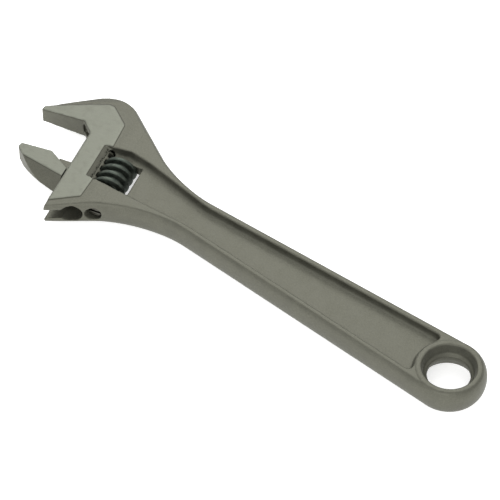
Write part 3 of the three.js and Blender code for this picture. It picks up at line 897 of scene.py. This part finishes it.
# %% [markdown]
# ## The ground faces
# Grinding lines run along the head, about 0.4 mm apart here and much closer on the real one. The
# thin coat over them is blotched by oil in patches of about 3 mm.

# %% Grinding lines, and both finishes together
along = add(tree, "ShaderNodeMapping", {}, {"Vector": in_head, "Scale": (0.05, 1, 1)})
lines = add(tree, "ShaderNodeTexNoise", {}, {"Vector": along, "Scale": 1 / (0.4 * MM), "Detail": 2})
line_amount = add(tree, "ShaderNodeMapRange", {}, {0: lines, 1: 0.3, 2: 0.7})
bright = add(tree, "ShaderNodeMix", {"data_type": "RGBA"}, {
    0: line_amount, 6: srgb("#6c6e64"), 7: srgb("#74766b"),
})
stain_noise = add(tree, "ShaderNodeTexNoise", {}, {"Vector": where, "Scale": 1 / (3 * MM), "Detail": 3})
stain_amount = add(tree, "ShaderNodeMapRange", {}, {0: stain_noise, 1: 0.5, 2: 0.75, 4: 0.3})
bright = add(tree, "ShaderNodeMix", {"data_type": "RGBA"}, {
    0: stain_amount, 6: bright, 7: srgb("#55554b"),
})
colour = add(tree, "ShaderNodeMix", {"data_type": "RGBA"}, {0: ground, 6: coat, 7: bright})
bright_roughness = add(tree, "ShaderNodeMapRange", {}, {0: line_amount, 3: 0.4, 4: 0.5})
roughness = add(tree, "ShaderNodeMix", {}, {0: ground, 2: coat_roughness, 3: bright_roughness})

# %% Grain and waves in the surface
pits = add(tree, "ShaderNodeBump", {}, {"Height": grain, "Distance": 0.035 * MM})
wave_noise = add(tree, "ShaderNodeTexNoise", {}, {"Vector": where, "Scale": 1 / (4 * MM), "Detail": 1})
wave_strength = add(tree, "ShaderNodeMapRange", {}, {0: ground, 3: 1.0, 4: 0.1})
waves = add(tree, "ShaderNodeBump", {}, {
    "Height": wave_noise, "Distance": 0.12 * MM, "Normal": pits, "Strength": wave_strength,
})
steel = add(tree, "ShaderNodeBsdfPrincipled", {}, {
    "Base Color": colour, "Metallic": 0.75, "Roughness": roughness, "Normal": waves,
})
add(tree, "ShaderNodeOutputMaterial", {}, {"Surface": steel})

# %% [markdown]
# ## Black oxide on the worm
# Hot blackening leaves a magnetite film a micrometre thick that keeps the machined surface's
# shine, and the oil in it gives it a greenish cast. Fingers polish it in smudges.

# %% Black oxide
tree, where = finish("oiled_black_oxide_steel", worm)
smudge_noise = add(tree, "ShaderNodeTexNoise", {}, {"Vector": where, "Scale": 1 / (1.5 * MM), "Detail": 4})
smudges = add(tree, "ShaderNodeMapRange", {}, {0: smudge_noise, 1: 0.35, 2: 0.65})
film = add(tree, "ShaderNodeMix", {"data_type": "RGBA"}, {
    0: smudges, 6: srgb("#3f4640"), 7: srgb("#51574f"),
})
film_roughness = add(tree, "ShaderNodeMapRange", {}, {0: smudges, 3: 0.38, 4: 0.5})
turning = add(tree, "ShaderNodeTexNoise", {}, {"Vector": where, "Scale": 1 / (0.5 * MM)})
marks = add(tree, "ShaderNodeBump", {}, {"Height": turning, "Distance": 0.015 * MM})
oxide = add(tree, "ShaderNodeBsdfPrincipled", {}, {
    "Base Color": film, "Metallic": 0.85, "Roughness": film_roughness, "Normal": marks,
})
add(tree, "ShaderNodeOutputMaterial", {}, {"Surface": oxide})

# %% [markdown]
# ## Bare steel for the pin and the spring
# The pin is turned and the spring is drawn through a die. Both keep a dull shine under old oil.

# %% Turned and drawn steel
BARE_STEEL = [
    ("bare_turned_steel", pin, "#4c4b45", "#5f5e57", 0.3, 0.4, 0.6),
    ("bare_drawn_wire", spring, "#6a6963", "#7c7b75", 0.25, 0.35, 0.4),
]
for name, piece, dull, clear, least_rough, most_rough, streak_width in BARE_STEEL:
    tree, where = finish(name, piece)
    streak_scale = 1 / (streak_width * MM)
    streak_noise = add(tree, "ShaderNodeTexNoise", {}, {"Vector": where, "Scale": streak_scale})
    streaks = add(tree, "ShaderNodeMapRange", {}, {0: streak_noise, 1: 0.35, 2: 0.65})
    colour = add(tree, "ShaderNodeMix", {"data_type": "RGBA"}, {
        0: streaks, 6: srgb(dull), 7: srgb(clear),
    })
    rough = add(tree, "ShaderNodeMapRange", {}, {0: streaks, 3: least_rough, 4: most_rough})
    scratches = add(tree, "ShaderNodeBump", {}, {"Height": streaks, "Distance": 0.01 * MM})
    bare = add(tree, "ShaderNodeBsdfPrincipled", {}, {
        "Base Color": colour, "Metallic": 1.0, "Roughness": rough, "Normal": scratches,
    })
    add(tree, "ShaderNodeOutputMaterial", {}, {"Surface": bare})
print("finishes:", [material.name for material in bpy.data.materials])

# %% [markdown]
# ## Floor and light
# The wrench lies on a pale light table: a white floor that glows a little, so that the shadow
# under the wrench stays faint. One large lamp above and behind gives the tops their sheen, and a
# softer one on the camera's side fills the walls. A pale world lights the rest.

# %% Floor
bpy.ops.mesh.primitive_plane_add(size=6, location=(0, 0, 0))
floor = bpy.context.object
floor.name = "light_table"
tree, where = finish("pale_light_table", floor)
table_top = add(tree, "ShaderNodeBsdfPrincipled", {}, {
    "Base Color": (0.9, 0.9, 0.9, 1),
    "Roughness": 0.9,
    "Specular IOR Level": 0.1,
    "Emission Color": (1, 1, 1, 1),
    "Emission Strength": 0.6,
})
add(tree, "ShaderNodeOutputMaterial", {}, {"Surface": table_top})


# %% Lamps and world
def lamp(name, azimuth, elevation, distance, size, watts):
    """A square lamp that looks at the wrench's middle. Azimuth 0 is towards -Y, 90 towards +X."""
    around = math.radians(azimuth)
    up = math.radians(elevation)
    direction = Vector((math.sin(around) * math.cos(up), -math.cos(around) * math.cos(up), math.sin(up)))
    bpy.ops.object.light_add(type="AREA", location=direction * distance)
    light = bpy.context.object
    light.name = name
    light.data.size = size
    light.data.energy = watts
    light.rotation_euler = (-direction).to_track_quat("-Z", "Y").to_euler()
    return light


lamp("back_softbox", 215, 50, 1.2, 0.9, 6)
lamp("front_softbox", 20, 35, 1.4, 1.0, 6)

# The Standard view has no tone curve, so the white table stays white.
bpy.context.scene.view_settings.view_transform = "Standard"
world = bpy.data.worlds.new("pale_studio")
bpy.context.scene.world = world
world.use_nodes = True
world.node_tree.nodes["Background"].inputs["Color"].default_value = (1, 1, 1, 1)
world.node_tree.nodes["Background"].inputs["Strength"].default_value = 0.86

# %% [markdown]
# ## Hand the pieces over
# Each piece rides on the body that it belongs to and stands for its node in the frame. The
# table also lists a slot name for each finish.

# %% Ride and replace
PIECES = [
    (body, "wrench", "body", "phosphated_forging"),
    (jaw, "jaw", "sliding_jaw", "ground_steel"),
    (worm, "knurl", "worm", "black_oxide"),
    (pin, "wrench", "worm_pin", "turned_steel"),
    (spring, "wrench", "worm_spring", "spring_wire"),
]
for piece, body_name, node_name, slot_name in PIECES:
    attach(piece, body_name)
    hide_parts(node_name)
